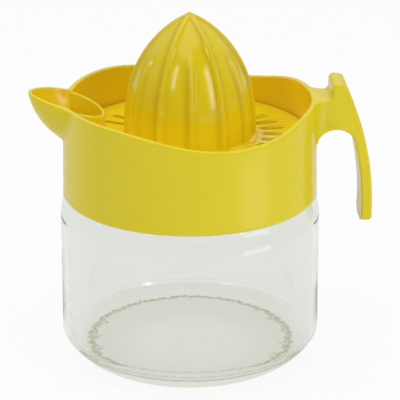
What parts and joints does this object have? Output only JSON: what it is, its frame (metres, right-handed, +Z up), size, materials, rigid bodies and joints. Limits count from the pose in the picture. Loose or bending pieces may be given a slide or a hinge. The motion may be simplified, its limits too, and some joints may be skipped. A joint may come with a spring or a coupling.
{
  "type": "citrus juicer",
  "caption": "Hand citrus juicer: a ribbed reamer with a slotted strainer rests in a screw-on pouring collar with spout and hook handle, over a clear glass jar.",
  "frame": {"origin": "middle of the ring that the jar stands on, at table height", "axes": "+Z up along the jar's axis, +X towards the handle, -X towards the spout"},
  "size_m": [0.1325, 0.1008, 0.1391],
  "materials": {
    "glass": "clear pressed glass, fire polished",
    "seal": "soft matt silicone rubber",
    "collar": "glossy moulded plastic",
    "reamer": "glossy moulded plastic"
  },
  "bodies": {
    "jar": {"glass_jar": "glass"},
    "seal": {"jar_seal": "seal"},
    "collar": {"pouring_collar": "collar"},
    "reamer": {"reamer_strainer": "reamer"}
  },
  "joints": [
    {"name": "unscrew_lift", "type": "slide", "parent": "jar", "child": "seal", "axis": [0, 0, 1], "range_m": [0, 0.0046]},
    {"name": "unscrew_turn", "type": "hinge", "parent": "seal", "child": "collar", "pos_m": [0, 0, 0.0756], "axis": [0, 0, 1], "range_deg": [0, 270]},
    {"name": "reamer_lift", "type": "slide", "parent": "collar", "child": "reamer", "axis": [0, 0, 1], "range_m": [0, 0.06]}
  ],
  "couplings": [
    {"joint": "unscrew_lift", "follows": "unscrew_turn", "m_per_rad": 0.00095493}
  ]
}
